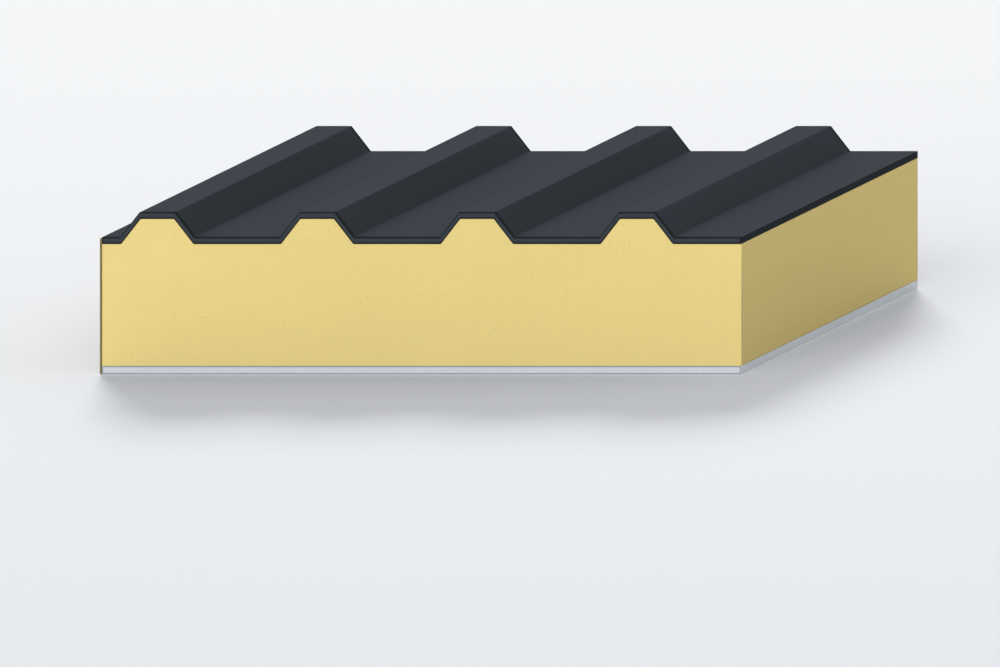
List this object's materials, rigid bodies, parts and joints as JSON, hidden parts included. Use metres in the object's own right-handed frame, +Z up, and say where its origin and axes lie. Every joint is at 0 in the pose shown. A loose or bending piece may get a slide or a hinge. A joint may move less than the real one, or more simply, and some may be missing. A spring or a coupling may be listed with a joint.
{
  "type": "insulated sandwich panel",
  "caption": "Flat length of insulated roof panel: a crowned dark steel weather sheet and a flat pale liner bonded to a thick rigid foam core, with a gasket strip on one joint edge.",
  "frame": {"origin": "middle of the panel's footprint, on the liner's underside, where it rests on a purlin", "axes": "+X across the crowns from the gasket edge to the bare joint edge, +Y along the crowns, +Z up through the crowns"},
  "size_m": [0.5618, 0.345, 0.142],
  "materials": {
    "dark_coil_coat": "matt anthracite coil coating on steel sheet",
    "rigid_foam": "saw cut rigid polyisocyanurate foam, straw yellow, fine closed cells",
    "pale_coil_coat": "satin pale grey coil coating on steel sheet",
    "gasket_strip": "soft olive brown foam tape with a skin"
  },
  "bodies": {
    "root": {"weather_sheet": "dark_coil_coat", "foam_core": "rigid_foam", "liner_sheet": "pale_coil_coat", "joint_gasket": "gasket_strip"}
  },
  "joints": []
}
